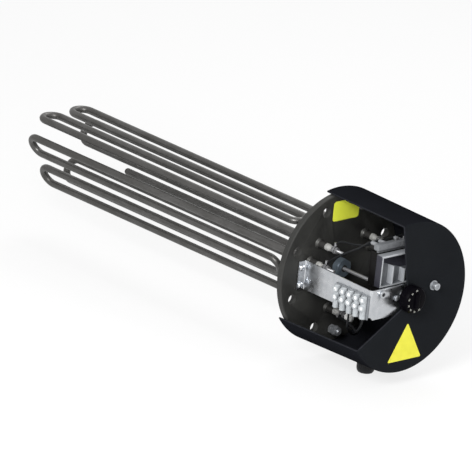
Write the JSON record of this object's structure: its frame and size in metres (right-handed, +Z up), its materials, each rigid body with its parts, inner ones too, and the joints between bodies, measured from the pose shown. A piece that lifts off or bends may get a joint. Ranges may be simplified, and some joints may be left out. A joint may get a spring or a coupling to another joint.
{
  "type": "flanged immersion heating element",
  "caption": "Round flange with bent tubular heating rods and a sensor pocket, with a cut-open terminal hood, thermostat, terminal block and knob.",
  "frame": {"origin": "centre of the flange's sealing face, which meets the tank", "axes": "+Y along the elements into the tank, +Z up, +X to the right for someone who faces the hood"},
  "size_m": [0.1825, 0.605, 0.2005],
  "materials": {
    "black_paint": "satin black paint",
    "oxidised_steel": "annealed, dark grey satin",
    "zinc": "bright zinc plated",
    "nickel": "nickel plated",
    "ceramic": "unglazed off-white ceramic",
    "bakelite": "dark phenolic moulding",
    "grey_moulding": "grey moulding",
    "pale_moulding": "pale translucent moulding",
    "black_plastic": "satin near-black",
    "knob_plastic": "satin near-black",
    "gland_plastic": "satin black",
    "rubber": "matt black",
    "wire_sleeve": "grey silicone sleeve"
  },
  "bodies": {
    "housing": {"flange": "black_paint", "heating_element_top": "oxidised_steel", "heating_element_left": "oxidised_steel", "heating_element_right": "oxidised_steel", "sensor_pocket": "oxidised_steel", "bridge_bracket": "zinc", "pocket_boss": "zinc", "bracket_screw_1": "zinc", "bracket_screw_2": "zinc", "bracket_screw_3": "zinc", "bracket_screw_4": "zinc", "thermostat_screw_1": "zinc", "thermostat_screw_2": "zinc", "rivet_nut_left": "zinc", "rivet_nut_right": "zinc", "hood_screw": "zinc", "earth_stud": "zinc", "terminal_stud_top_a": "nickel", "terminal_stud_top_b": "nickel", "terminal_stud_left_a": "nickel", "terminal_stud_left_b": "nickel", "terminal_stud_right_a": "nickel", "terminal_stud_right_b": "nickel", "thermostat_stem": "nickel", "block_clamp_1": "nickel", "block_clamp_2": "nickel", "block_clamp_3": "nickel", "block_clamp_4": "nickel", "block_clamp_5": "nickel", "insulator_top_a": "ceramic", "insulator_top_b": "ceramic", "insulator_left_a": "ceramic", "insulator_left_b": "ceramic", "insulator_right_a": "ceramic", "insulator_right_b": "ceramic", "thermostat_body": "bakelite", "thermostat_cover": "grey_moulding", "thermostat_terminal_strip": "grey_moulding", "terminal_block": "pale_moulding", "hood": "black_plastic", "gland_body": "gland_plastic", "gland_dome_nut": "gland_plastic", "gland_locknut": "gland_plastic", "gland_seal": "rubber", "lead_top_left": "wire_sleeve", "lead_left_upper": "wire_sleeve", "lead_top_right": "wire_sleeve", "lead_right_upper": "wire_sleeve", "lead_right_lower": "wire_sleeve", "lead_left_lower": "wire_sleeve"},
    "control": {"knob": "knob_plastic", "thermostat_shaft": "nickel"}
  },
  "joints": [
    {"name": "knob_turn", "type": "hinge", "parent": "housing", "child": "control", "pos_m": [0, -0.125, 0], "axis": [0, 1, 0], "range_deg": [0, 270]}
  ]
}
